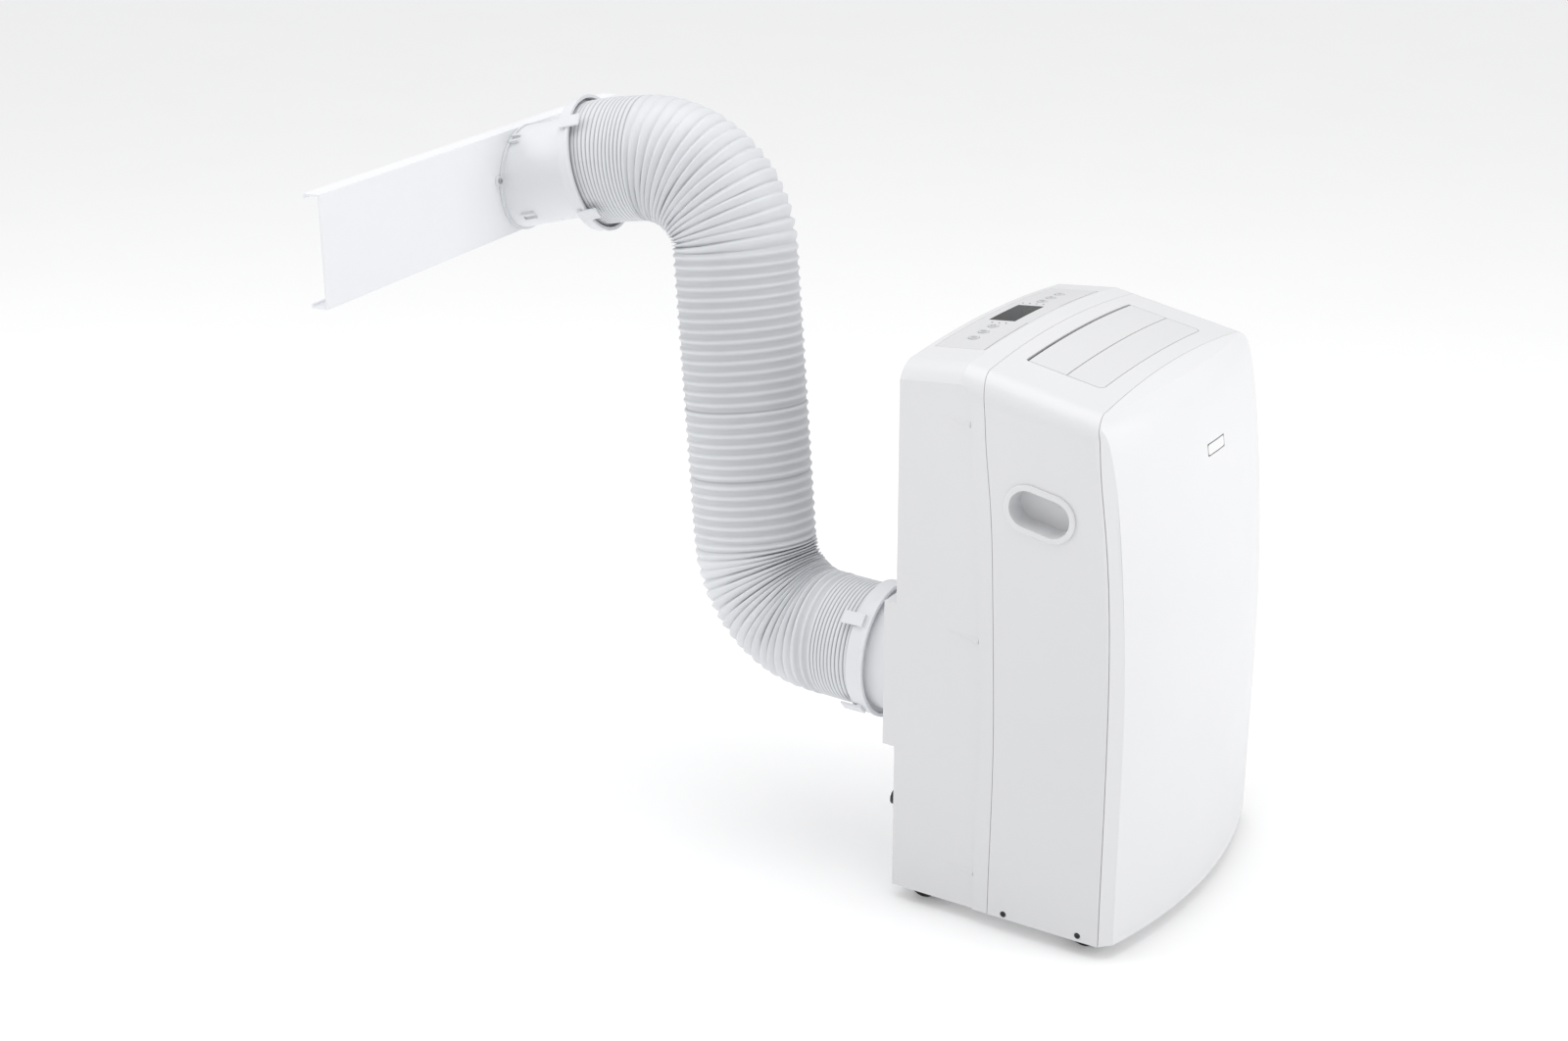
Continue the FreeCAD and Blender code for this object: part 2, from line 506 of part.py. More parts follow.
# ---- outside-air half: exhaust fan, compressor, pipes, electrics
y0, y1 = 62.0, 148.0
drum = along_y(80, OUT_X, OUT_Z, y0, y1).cut(along_y(77.6, OUT_X, OUT_Z, y0 + 2.4, y1 - 2.4))
drum = drum.cut(along_y(58, OUT_X, OUT_Z, y0 - 5, y0 + 5)).cut(along_y(66, OUT_X, OUT_Z, y1 - 5, y1 + 5))
foot = box(OUT_X - 20, OUT_X + 40, 75, 135, 21.8, OUT_Z - 70).cut(along_y(79, OUT_X, OUT_Z, 50, 160))
foot = foot.cut(box(OUT_X - 16, OUT_X + 36, 70, 140, 30, OUT_Z - 90))
save(drum.fuse(foot).removeSplitter(), "exhaust_housing")
blades = []
for k in range(7):
    blade = box(-1.2, 1.2, -21.0, 21.0, 16.0, 72.0)
    blade.rotate(V(0, 0, 0), V(0, 0, 1), 38)
    blade.rotate(V(0, 0, 0), V(0, 1, 0), k * 360.0 / 7)
    blades.append(blade)
fan = fused([cyl(24, V(0, -19, 0), V(0, 19, 0))] + blades).cut(cyl(4.06, V(0, -30, 0), V(0, 30, 0)))
fan.translate(V(OUT_X, 104, OUT_Z))
save(fan.removeSplitter(), "exhaust_wheel")
motor = along_y(32, OUT_X, OUT_Z, 8, 56).fuse(along_y(4, OUT_X, OUT_Z, 56, 122))
arms = []
for k in range(3):
    arm = box(-4, 4, 40, 46, 28, 70).fuse(box(-4, 4, 40, 61.6, 64, 70))
    arm.rotate(V(0, 0, 0), V(0, 1, 0), 120.0 * k)
    arm.translate(outlet)
    arms.append(arm)
save(fused([motor] + arms).removeSplitter(), "exhaust_motor")

can = cyl(56, V(CX, CY, 46), V(CX, CY, 236))
can = can.makeFillet(22.0, [e for e in can.Edges if e.BoundBox.ZLength < 0.01])
plate = cyl(62, V(CX, CY, 38.4), V(CX, CY, 42)).fuse(cyl(30, V(CX, CY, 40), V(CX, CY, 60)))
side_can = cyl(24, V(CX + 84, CY, 90), V(CX + 84, CY, 220))
side_can = side_can.makeFillet(10.0, [e for e in side_can.Edges if e.BoundBox.ZLength < 0.01])
neck = box(CX + 50, CX + 64, CY - 6, CY + 6, 130, 150)
tops = [cyl(5, V(CX, CY + 20, 230), V(CX, CY + 20, 250)), cyl(5, V(CX + 84, CY, 215), V(CX + 84, CY, 232))]
save(fused([can, plate, side_can, neck] + tops).removeSplitter(), "compressor")
grommets = []
for x, y in compressor_feet:
    grommets.append(cyl(10, V(x, y, 26.2), V(x, y, 38.2)))
save(Part.makeCompound(grommets), "compressor_grommets")
pipes = [swept([V(CX, CY + 20, 250.4), V(CX, CY + 20, 290), V(185, 60, 290), V(185, 60, 392), V(164, 90, 392),
                V(164, 117.6, 392)], 6.0, 3.2),
         swept([V(CX + 84, CY, 232.4), V(CX + 84, CY, 262), V(CX + 84, 117.6, 262)], 6.0, 3.2)]
save(Part.makeCompound(pipes), "refrigerant_pipes")
case = box(-196, -100, -88, -22, 66, 190)
case = case.cut(box(-193.6, -102.4, -85.6, -24.4, 68.4, 187.6))
lid = box(-198, -98, -91.0, -88.0, 64, 192)
feet = [box(-144, -104, -75, -60, 21.8, 67.0), lid, box(-160, -130, -92.4, -90.8, 100, 140)]
save(fused([case] + feet).removeSplitter(), "electrics_case")

# ---- fittings on the rear face
gland = along_y(14, -185, 120, 160.3, 163.4).fuse(along_y(9.0, -185, 120, 154, 176))
gland = gland.cut(along_y(4.0, -185, 120, 150, 180))
save(gland.removeSplitter(), "cord_gland")
hooks = []
for z, up in ((440.0, -1), (610.0, 1)):
    hook = fused([box(176, 204, 160.3, 163.5, z - 12, z + 12), box(186, 194, 163, 186, z - 6, z + 6)])
    z0, z1 = sorted((z - up * 6, z + up * 26))
    hooks.append(hook.fuse(box(180, 200, 182, 186, z0, z1)))
save(Part.makeCompound(hooks), "cord_hooks")
for name, (x, z) in zip(("upper", "lower"), spouts):
    cap = fused([along_y(5.94, x, z, 156, 169), along_y(11, x, z, 168.5, 173.5),
                 box(x - 2, x + 2, 173, 179, z - 9, z + 9)])
    save(cap.removeSplitter(), "drain_cap_" + name)

# ---- exhaust path: outlet adaptor, unit connector, hose, window connector, window panel
adaptor = fused([tube(78.0, 65.4, outlet + V(0, 176.3, 0), outlet + V(0, 179.3, 0)),
                 tube(67.6, 65.4, outlet + V(0, 150.5, 0), outlet + V(0, 192, 0))])
save(adaptor.removeSplitter(), "exhaust_adaptor")
# section of the unit connector, (distance along the axis, radius): duct, cup with its bead, duct
collar = [(179.7, 71.2), (179.7, 73.4), (216.0, 73.4), (216.0, 80.4), (209.5, 80.4), (209.5, 84.0),
          (210.2, 84.6), (213.0, 84.6), (213.8, 83.6), (214.4, 82.8), (232.0, 82.8), (232.0, 80.4),
          (218.4, 80.4), (218.4, 73.4), (240.0, 73.4), (240.0, 71.2)]
unit = turned(collar, outlet, V(0, 1, 0))
tabs = []
for a in (-47.0, -133.0, 77.0):
    tab = box(-8, 8, 219, 247, 84.2, 86.8).fuse(box(-8, 8, 219, 225, 81.5, 85.0))
    tab.rotate(V(0, 0, 0), V(0, 1, 0), a)
    tab.translate(outlet)
    tabs.append(tab)
unit = fused([unit] + tabs)
save(unit.removeSplitter(), "unit_connector")

yaw = math.radians(PANEL_YAW)
along = V(math.cos(yaw), math.sin(yaw), 0)
normal = V(math.sin(yaw), -math.cos(yaw), 0)
centre = PANEL_CORNER + along * FLANGE_AT + V(0, 0, -PANEL_H / 2.0)
rise, side = math.radians(13.5), math.radians(3.3)
aim = normal * (math.cos(rise) * math.cos(side)) + V(0, 0, math.sin(rise)) + along * math.sin(side)
aim.normalize()


def placed(shape):
    """Local panel frame (X along, Y away from the unit, Z up) into the room."""
    shape.rotate(V(0, 0, 0), V(0, 0, 1), PANEL_YAW)
    shape.translate(PANEL_CORNER)
    return shape


t = 2.2
ring = [(0.0, 0.0), (PANEL_D, 0.0), (PANEL_D, -5.0), (PANEL_D - t, -5.0), (PANEL_D - t, -t), (t, -t),
        (t, -PANEL_H + t), (PANEL_D - t, -PANEL_H + t), (PANEL_D - t, -PANEL_H + 5.0),
        (PANEL_D, -PANEL_H + 5.0), (PANEL_D, -PANEL_H), (0.0, -PANEL_H)]
panel = prism_yz(ring, 0.0, PANEL_L)
panel = panel.cut(along_y(58.6, FLANGE_AT, -PANEL_H / 2, -10, 30))
EARS = [(FLANGE_AT + dx * 70.0, -PANEL_H / 2 + dz) for dx, dz in ((-1, 8.0), (1, -8.0))]
for x, z in EARS:
    panel = panel.cut(along_y(2.2, x, z, -5, 10))
save(placed(panel), "window_panel")

flange = tube(66.0, 55.8, V(FLANGE_AT, -3.3, -PANEL_H / 2), V(FLANGE_AT, -0.3, -PANEL_H / 2))
lobes = [along_y(6.0, x, z, -3.3, -0.3) for x, z in EARS]
spigot = tube(58.0, 55.8, V(FLANGE_AT, -3.3, -PANEL_H / 2), V(FLANGE_AT, 24.0, -PANEL_H / 2))
flange = fused([flange, spigot] + lobes).cut(along_y(55.8, FLANGE_AT, -PANEL_H / 2, -20, 30))
for x, z in EARS:
    flange = flange.cut(along_y(2.2, x, z, -5, 10))
flange = placed(flange)
wall_side = placed(box(-50, 800, -1.2, 60, -220, 100))
# section of the window connector: duct, flare, cup with its bead, sleeve for the hose, and back inside
profile = [(-20.0, 59.8), (-20.0, 62.0), (83.0, 62.0), (86.5, 64.5), (89.5, 71.0), (92.0, 82.8),
           (102.0, 82.8), (102.8, 83.6), (103.4, 84.6), (106.2, 84.6), (107.0, 84.0), (107.0, 80.4),
           (94.4, 80.4), (94.4, 73.4), (118.0, 73.4), (118.0, 71.2), (92.2, 71.2), (87.5, 66.0),
           (83.5, 60.8), (80.0, 59.8)]
neck = turned(profile, centre, aim).cut(wall_side)
tabs = []
frame_rot = FreeCAD.Rotation(V(0, 1, 0), aim)
for a, shape in ((-56.0, "clip"), (28.0, "clip"), (150.0, "clip"), (-64.0, "latch"), (34.0, "latch")):
    if shape == "clip":
        tab = box(-8, 8, 96, 122, 84.2, 86.8).fuse(box(-8, 8, 96, 101, 81.5, 85.0))
    else:
        tab = box(-6, 6, 6, 24, 60.5, 66.0).cut(box(-3.5, 3.5, 9, 30, 62.5, 68.0))
    tab.rotate(V(0, 0, 0), V(0, 1, 0), a)
    tab.Placement = FreeCAD.Placement(centre, frame_rot).multiply(tab.Placement)
    tabs.append(tab)
save(fused([flange, neck] + [tab.cut(wall_side) for tab in tabs]).removeSplitter(), "window_connector")
screws = []
for x, z in EARS:
    screw = along_y(3.4, x, z, -5.4, -3.6).fuse(along_y(2.0, x, z, -3.7, 8.0))
    screw = screw.cut(box(x - 2, x + 2, -6, -4.7, z - 0.4, z + 0.4))
    screw = screw.cut(box(x - 0.4, x + 0.4, -6, -4.7, z - 2, z + 2))
    screws.append(placed(screw))
save(Part.makeCompound(screws), "window_screws")

bends = [outlet + V(0, 219.2, 0), outlet + V(0, 246.0, 0), V(-118.5, 410.0, 286.0), V(-67.5, 483.9, 854.1),
         centre + aim * 128.0, centre + aim * 95.6]
hose = swept(bends, 112.0, HOSE_R).cut(swept(bends, 112.0, HOSE_R - HOSE_WALL))
save(hose, "exhaust_hose")

# ---- casters: a pair of tyres on one axle, either side of the fork plate
for name, (x, y) in zip(("front_left", "rear_left", "front_right", "rear_right"), stems):
    hub = y + TRAIL
    side_view = [(y - 8, 40.7), (y + 9, 40.7), (hub + 6, 21.0),
                 (hub + 4, 14.0), (hub - 4, 14.0), (hub - 6, 21.0)]
    plate = prism_yz(side_view, x - 2.4, x + 2.4)
    fork = fused([plate, cyl(13, V(x, y, 40.6), V(x, y, 43.4)), cyl(4.0, V(x, y, 43.4), V(x, y, 61.0))])
    fork = fork.cut(cyl(2.56, V(x - 20, hub, WHEEL_R), V(x + 20, hub, WHEEL_R)))
    save(fork.removeSplitter(), "caster_fork_" + name)
    pair = []
    for s in (-1, 1):
        x0, x1 = sorted((x + s * 2.9, x + s * 10.0))
        disc = cyl(WHEEL_R, V(x0, hub, WHEEL_R), V(x1, hub, WHEEL_R))
        disc = disc.makeFillet(2.0, [e for e in disc.Edges if e.BoundBox.XLength < 0.01])
        dish = sorted((x + s * 9.0, x + s * 12.0))
        pair.append(disc.cut(tube(14.0, 6.0, V(dish[0], hub, WHEEL_R), V(dish[1], hub, WHEEL_R))))
    pair.append(cyl(2.5, V(x - 5, hub, WHEEL_R), V(x + 5, hub, WHEEL_R)))
    save(fused(pair).removeSplitter(), "caster_wheel_" + name)
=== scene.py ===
import math

import bmesh
import bpy
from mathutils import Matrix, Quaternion, Vector


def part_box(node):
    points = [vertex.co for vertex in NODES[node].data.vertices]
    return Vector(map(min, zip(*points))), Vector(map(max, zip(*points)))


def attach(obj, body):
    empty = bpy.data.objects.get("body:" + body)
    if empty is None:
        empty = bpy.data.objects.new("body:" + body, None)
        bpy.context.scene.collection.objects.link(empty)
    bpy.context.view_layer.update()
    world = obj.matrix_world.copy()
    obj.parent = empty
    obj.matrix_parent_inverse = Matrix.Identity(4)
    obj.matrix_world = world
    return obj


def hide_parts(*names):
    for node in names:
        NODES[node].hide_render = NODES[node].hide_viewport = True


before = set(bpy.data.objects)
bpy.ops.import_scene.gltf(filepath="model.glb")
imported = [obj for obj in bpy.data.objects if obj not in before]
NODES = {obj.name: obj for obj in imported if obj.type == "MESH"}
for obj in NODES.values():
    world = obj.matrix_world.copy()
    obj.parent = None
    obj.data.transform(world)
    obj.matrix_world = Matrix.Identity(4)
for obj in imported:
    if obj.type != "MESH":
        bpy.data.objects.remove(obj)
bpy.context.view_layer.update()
MM = 0.001


# ---------------------------------------------------------------- finishes
class Value:
    """A node output that takes part in ordinary sums."""

    def __init__(self, finish, socket):
        self.finish = finish
        self.socket = socket

    def math(self, how, a, b):
        return self.finish.add("ShaderNodeMath", {"operation": how}, {0: a, 1: b})

    def __add__(self, other):
        return self.math("ADD", self, other)

    def __radd__(self, other):
        return self.math("ADD", other, self)

    def __sub__(self, other):
        return self.math("SUBTRACT", self, other)

    def __rsub__(self, other):
        return self.math("SUBTRACT", other, self)

    def __mul__(self, other):
        return self.math("MULTIPLY", self, other)

    def __rmul__(self, other):
        return self.math("MULTIPLY", other, self)


class Finish:
    """One material, built from a principled surface."""

    def __init__(self, name, **constants):
        self.material = bpy.data.materials.new(name)
        self.material.use_nodes = True
        self.tree = self.material.node_tree
        self.surface = self.tree.nodes["Principled BSDF"]
        for socket, value in constants.items():
            self.surface.inputs[socket.replace("_", " ")].default_value = value
        self.place = self.add("ShaderNodeTexCoord", out="Object")

    def add(self, kind, settings=None, inputs=None, out=0):
        node = self.tree.nodes.new(kind)
        for key, value in (settings or {}).items():
            setattr(node, key, value)
        for key, value in (inputs or {}).items():
            if isinstance(value, Value):
                self.tree.links.new(value.socket, node.inputs[key])
            else:
                node.inputs[key].default_value = value
        return Value(self, node.outputs[out])

    def feed(self, socket, value):
        self.tree.links.new(value.socket, self.surface.inputs[socket])

    def noise(self, scale, detail=3.0, rough=0.55, stretch=(1, 1, 1)):
        place = self.place
        if stretch != (1, 1, 1):
            place = self.add("ShaderNodeMapping", {}, {"Vector": place, "Scale": stretch})
        return self.add("ShaderNodeTexNoise", {}, {"Vector": place, "Scale": scale, "Detail": detail,
                                                   "Roughness": rough})

    def axis(self, name):
        return self.add("ShaderNodeSeparateXYZ", {}, {"Vector": self.place}, out=name)

    def band(self, value, low, high, to_low=0.0, to_high=1.0):
        """Carries low..high over to to_low..to_high, clamped."""
        ends = {"From Min": low, "From Max": high, "To Min": to_low, "To Max": to_high}
        return self.add("ShaderNodeMapRange", {"clamp": True}, {"Value": value, **ends})

    def mix(self, factor, a, b):
        return self.add("ShaderNodeMix", {"data_type": "RGBA"}, {"Factor": factor, 6: a, 7: b}, out=2)

    def bump(self, height, strength, distance):
        relief = {"Height": height, "Strength": strength, "Distance": distance}
        self.feed("Normal", self.add("ShaderNodeBump", {}, relief))

    def stripes(self, axis, pitch):
        """Soft-edged ridges across one axis, 0 to 1."""
        wave = self.add("ShaderNodeMath", {"operation": "SINE"}, {0: self.axis(axis) * (2 * math.pi / pitch)})
        return wave * 0.5 + 0.5


def rgba(r, g=None, b=None):
    return (r, r if g is None else g, r if b is None else b, 1.0)


def darker(colour, share):
    return rgba(*(c * share for c in colour[:3]))


def moulded(name, colour, shade, rough, grain, depth, **more):
    """Moulded plastic: faint flow clouding, a fine spark texture and patchy gloss."""
    f = Finish(name, **more)
    spread = 0.05
    cloud = f.noise(3.5, 4.0, 0.6)
    fine = f.noise(grain, 2.0, 0.5)
    specks = f.noise(grain * 0.22, 3.0, 0.65)
    f.feed("Base Color", f.mix(f.band(cloud + specks * 0.25, 0.45, 0.85), colour, shade))
    patches = f.noise(14.0, 4.0, 0.6) + fine * 0.3
    f.feed("Roughness", f.band(patches, 0.45, 0.85, rough - spread, rough + spread))
    f.bump(fine + specks * 0.5, 0.35, depth)
    return f


def body_white(name, colour, shade):
    """Satin cabinet plastic with painted shade darkening it towards the floor, and duller handling marks low
    down.
    """
    f = Finish(name, Specular_IOR_Level=0.5, Coat_Weight=0.12, Coat_Roughness=0.22)
    cloud = f.noise(2.2, 4.0, 0.6)
    fine = f.noise(1500.0, 2.0, 0.5)
    ripple = f.noise(26.0, 2.0, 0.4)
    dust = f.noise(140.0, 4.0, 0.7)
    low = f.band(f.axis("Z"), 0.02, 0.16, 1.0, 0.0)
    worn = low * f.band(dust, 0.52, 0.74)
    base = f.mix(f.band(cloud, 0.3, 0.7), colour, shade)
    # painted shade: the base colour darkens from 0.62 m down to 0.05 m above the floor, standing in for the
    # sides getting less light low down
    painted_floor_shade = f.band(f.axis("Z"), 0.05, 0.62, 0.45, 0.0)
    base = f.mix(painted_floor_shade, base, darker(shade, 0.8))
    f.feed("Base Color", f.mix(worn * 0.5, base, darker(shade, 0.93)))
    f.feed("Roughness", f.band(f.noise(9.0, 4.0, 0.65), 0.3, 0.7, 0.33, 0.43) + worn * 0.08)
    f.bump(fine * 0.6 + ripple * 0.25, 0.25, 0.00006)
    return f


def hose_finish():
    """Semi-matte pleated polypropylene: painted shade in its folds, scuffed on its crests."""
    f = Finish("pleated_hose", Specular_IOR_Level=0.45, Subsurface_Weight=0.08, Subsurface_Scale=0.004,
               Subsurface_Radius=(1.0, 0.95, 0.9))
    fold = f.add("ShaderNodeAttribute", {"attribute_name": "painted_fold_shade_and_seam"}, out="Fac")
    cloud = f.noise(8.0, 4.0, 0.6)
    fibre = f.noise(420.0, 3.0, 0.6, (1.0, 1.0, 0.3))
    scuff = f.band(f.noise(90.0, 4.0, 0.7), 0.56, 0.72)
    crest = f.mix(f.band(cloud, 0.3, 0.7), rgba(0.76, 0.77, 0.79), rgba(0.71, 0.72, 0.745))
    # painted shade: the painted_fold_shade_and_seam attribute darkens the folds towards this near-black
    # colour; the seam joints' own darker tone rides in it too
    f.feed("Base Color", f.mix(f.band(fold, 0.0, 0.9), crest, rgba(0.13, 0.135, 0.145)))
    f.feed("Roughness", f.band(f.noise(30.0, 3.0, 0.6), 0.3, 0.7, 0.36, 0.5) + scuff * 0.1)
    f.bump(fibre + scuff * 0.3, 0.3, 0.00012)
    return f


def receiver_finish():
    """Clear receiver lens with painted shade in a thin dark band round its edge."""
    f = Finish("receiver_lens", Coat_Weight=0.5)
    lo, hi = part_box("receiver_window")
    across = (f.axis("X") - (lo.x + hi.x) / 2) * (2 / (hi.x - lo.x))
    up = (f.axis("Z") - (lo.z + hi.z) / 2) * (2 / (hi.z - lo.z))
    across, up = across * across, up * up
    across, up = across * across, up * up
    # painted shade: a dark band round the lens's edge stands for the shade in the gap where it sits in the
    # panel
    painted_edge_shade = f.band(across * across * across * across + up, 0.45, 0.60)
    pale = f.mix(f.noise(900.0, 3.0), rgba(0.88), rgba(0.84))
    f.feed("Base Color", f.mix(painted_edge_shade, pale, rgba(0.10)))
    f.feed("Roughness", f.band(f.noise(200.0, 3.0), 0.3, 0.7, 0.16, 0.24))
    f.bump(f.noise(900.0, 2.0), 0.15, 0.00004)
    return f


def screen_finish():
    """Smoked display cover over a faint grid of segments."""
    f = Finish("smoked_display", Specular_IOR_Level=0.18)
    cells = f.stripes("X", 0.0022) * f.stripes("Y", 0.0022)
    edge = f.noise(60.0, 3.0)
    grid = f.band(cells + edge * 0.2, 0.2, 1.1)
    f.feed("Base Color", f.mix(grid, rgba(0.010, 0.011, 0.012), rgba(0.018, 0.019, 0.021)))
    f.feed("Roughness", f.band(f.noise(200.0, 3.0), 0.3, 0.7, 0.16, 0.28))
    f.bump(f.noise(900.0, 2.0), 0.15, 0.00004)
    return f


def sheet_metal(name, colour, shade, rough, stretch):
    f = Finish(name, Metallic=1.0)
    grain = f.noise(220.0, 4.0, 0.7, stretch)
    spangle = f.add("ShaderNodeTexVoronoi", {}, {"Vector": f.place, "Scale": 110.0}, out="Distance")
    f.feed("Base Color", f.mix(f.band(grain + spangle * 0.4, 0.4, 1.0), colour, shade))
    f.feed("Roughness", f.band(grain, 0.3, 0.7, rough - 0.08, rough + 0.1))
    f.bump(grain, 0.2, 0.00008)
    return f


def finned():
    """Pressed aluminium fins, packed edge to edge, with painted shade in the gaps between them."""
    f = Finish("coil_fins", Metallic=0.85)
    fins = f.stripes("X", 0.0019)
    bent = f.noise(18.0, 4.0, 0.7)
    # painted shade: the dark stripes stand for the shade in the gaps between the fins
    edges = f.band(fins + bent * 0.3, 0.2, 1.1)
    f.feed("Base Color", f.mix(edges, rgba(0.16, 0.165, 0.17), rgba(0.72, 0.73, 0.74)))
    f.feed("Roughness", f.band(bent, 0.3, 0.7, 0.3, 0.5))
    f.bump(fins, 0.8, 0.0006)
    return f


def tyre_finish():
    f = Finish("caster_tyre", Specular_IOR_Level=0.35)
    dust = f.noise(260.0, 4.0, 0.7)
    f.feed("Base Color", f.mix(f.band(dust, 0.5, 0.8), rgba(0.018), rgba(0.07, 0.068, 0.064)))
    f.feed("Roughness", f.band(dust, 0.3, 0.7, 0.5, 0.72))
    f.bump(f.noise(900.0, 3.0) + dust * 0.5, 0.4, 0.0002)
    return f


def board_finish():
    f = Finish("circuit_board", Specular_IOR_Level=0.5)
    layout = {"Vector": f.place, "Scale": 90.0, "Mortar Size": 0.03}
    tracks = f.add("ShaderNodeTexBrick", {}, layout, out="Fac")
    f.feed("Base Color", f.mix(tracks, rgba(0.02, 0.11, 0.05), rgba(0.05, 0.24, 0.11)))
    f.feed("Roughness", f.band(f.noise(90.0), 0.3, 0.7, 0.3, 0.5))
    f.bump(tracks, 0.3, 0.0001)
    return f


WHITE = body_white("cabinet_white", rgba(0.80, 0.802, 0.812), rgba(0.775, 0.778, 0.79))
FRONT = body_white("front_white", rgba(0.84, 0.842, 0.85), rgba(0.815, 0.818, 0.828))
VANE = body_white("vane_white", rgba(0.765, 0.767, 0.775), rgba(0.75, 0.752, 0.76))
FILM = moulded("control_film", rgba(0.72, 0.72, 0.727), rgba(0.70, 0.70, 0.71), 0.55, 1100.0, 0.00008)
KEYTOP = moulded("key_top", rgba(0.62, 0.62, 0.625), rgba(0.58, 0.58, 0.59), 0.5, 1400.0, 0.00006)
DUCT = moulded("duct_plastic", rgba(0.79, 0.80, 0.82), rgba(0.76, 0.77, 0.79), 0.4, 700.0, 0.0001)
PANEL = moulded("window_panel_plastic", rgba(0.90, 0.91, 0.93), rgba(0.87, 0.88, 0.90), 0.48, 600.0, 0.00012)
INNER = moulded("inner_plastic", rgba(0.50, 0.505, 0.515), rgba(0.44, 0.445, 0.455), 0.6, 500.0, 0.00015)
# painted shade: the outlet duct and deflector are painted near black to stand for the dark inside the air
# outlet
SHADED = moulded("painted_outlet_shade", rgba(0.05), rgba(0.07), 0.6, 500.0, 0.00015)
BLACK = moulded("black_nylon", rgba(0.016), rgba(0.03), 0.45, 800.0, 0.0001)
LENS = receiver_finish()
ENAMEL = moulded("compressor_enamel", rgba(0.02), rgba(0.035), 0.3, 300.0, 0.0002, Coat_Weight=0.4)
INK = moulded("legend_ink", rgba(0.16, 0.16, 0.17), rgba(0.20, 0.20, 0.21), 0.5, 900.0, 0.00003)
SCREW = sheet_metal("dark_screw", rgba(0.045), rgba(0.10), 0.42, (1, 1, 1))
ZINC = sheet_metal("zinc_screw", rgba(0.58, 0.58, 0.57), rgba(0.42, 0.42, 0.41), 0.35, (1, 1, 1))
GALVANISED = sheet_metal("galvanised", rgba(0.50, 0.51, 0.52), rgba(0.36, 0.37, 0.38), 0.42, (1, 1, 1))
COPPER = sheet_metal("copper_tube", rgba(0.72, 0.36, 0.22), rgba(0.45, 0.21, 0.13), 0.3, (1, 1, 4))
HOSE = hose_finish()
SCREEN = screen_finish()
FINS = finned()
TYRE = tyre_finish()
BOARD = board_finish()

# what each node wears, by the longest matching start of its name; the rest wear INNER
WEARS = {
    "rear_shell": WHITE, "middle_shell": WHITE, "front_panel": FRONT, "base_pan": WHITE,
    "handle": WHITE, "cord_hooks": WHITE, "filter_grille": WHITE, "drain_cap": WHITE,
    "vane_rear": VANE, "vane_front": VANE, "vane_link": INNER, "vane_motor": BLACK,
    "control_overlay": FILM, "display": SCREEN, "receiver": LENS, "key_": KEYTOP,
    "unit_connector": DUCT, "window_connector": DUCT, "exhaust_adaptor": DUCT, "window_panel": PANEL,
    "window_screws": ZINC, "cabinet_screws": SCREW, "caster_fork": BLACK, "caster_wheel": TYRE,
    "cord_gland": BLACK, "evaporator": FINS, "condenser": FINS, "compressor": ENAMEL,
    "compressor_grommets": TYRE, "refrigerant": COPPER, "blower_motor": GALVANISED,
    "exhaust_motor": GALVANISED, "blower_wheel": BLACK, "exhaust_wheel": BLACK,
    "control_board": BOARD, "outlet_duct": SHADED, "deflector": SHADED,
}


def wear(obj, finish):
    obj.data.materials.clear()
    obj.data.materials.append(finish.material)


for node, obj in NODES.items():
    best = max((k for k in WEARS if node.startswith(k)), key=len, default=None)
    wear(obj, WEARS[best] if best else INNER)


# ---------------------------------------------------------------- mesh helpers
def bridge(bm, a, b):
    """Faces between two closed rings of the same count."""
    for n in range(len(a)):
        m = (n + 1) % len(a)
        bm.faces.new((a[n], a[m], b[m], b[n]))


def piece(name, bm, body, finish, smooth=True):
    bmesh.ops.recalc_face_normals(bm, faces=bm.faces)
    mesh = bpy.data.meshes.new(name)
    bm.to_mesh(mesh)
    bm.free()
    obj = bpy.data.objects.new(name, mesh)
    bpy.context.scene.collection.objects.link(obj)
    mesh.materials.append(finish.material)
    if smooth:
        mesh.polygons.foreach_set("use_smooth", [True] * len(mesh.polygons))
    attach(obj, body)
    return obj


# ---------------------------------------------------------------- exhaust hose, in millimetres
UP = Vector((0, 0, 1))
YAW = math.radians(8.1)                    # turn of the window panel about the vertical
ALONG = Vector((math.cos(YAW), math.sin(YAW), 0))
NORMAL = Vector((math.sin(YAW), -math.cos(YAW), 0))
PANEL_CORNER = Vector((-555.3, 692.1, 869.8))
PANEL_H, FLANGE_AT = 128.5, 437.5          # panel height, and how far along it the connector stands
FLANGE = PANEL_CORNER + ALONG * FLANGE_AT - UP * (PANEL_H / 2)
RISE, SIDE = math.radians(13.5), math.radians(3.3)
AIM = NORMAL * (math.cos(RISE) * math.cos(SIDE)) + UP * math.sin(RISE) + ALONG * math.sin(SIDE)
AIM.normalize()
REARWARD = Vector((0, 1, 0))
OUTLET = Vector((-125.0, 0.0, 284.5))
CORNERS = [OUTLET + REARWARD * 219.4, OUTLET + REARWARD * 246.0, Vector((-118.5, 410.0, 286.0)),
           Vector((-67.5, 483.9, 854.1)), FLANGE + AIM * 128.0, FLANGE + AIM * 95.8]
BEND = 112.0
HOSE_R, CUFF_R = 77.3, 76.4                # outside radius over the crests, and over the fine cuffs
BORE_R, BORE_STEP = 69.5, 10.0
STEP, SOFTENING = 1.2, 70                  # spacing of the centre line's points, and rounds of easing
ROUND = 112                                # points around the hose
FINE_STEPS, FOLD_STEPS = 8, 11             # rings to a pleat in the cuffs and elsewhere
UNIT_CUFF, WINDOW_CUFF = 69.0, 78.0        # lengths of the finely pleated ends
CUFF_BLEND = 2.0
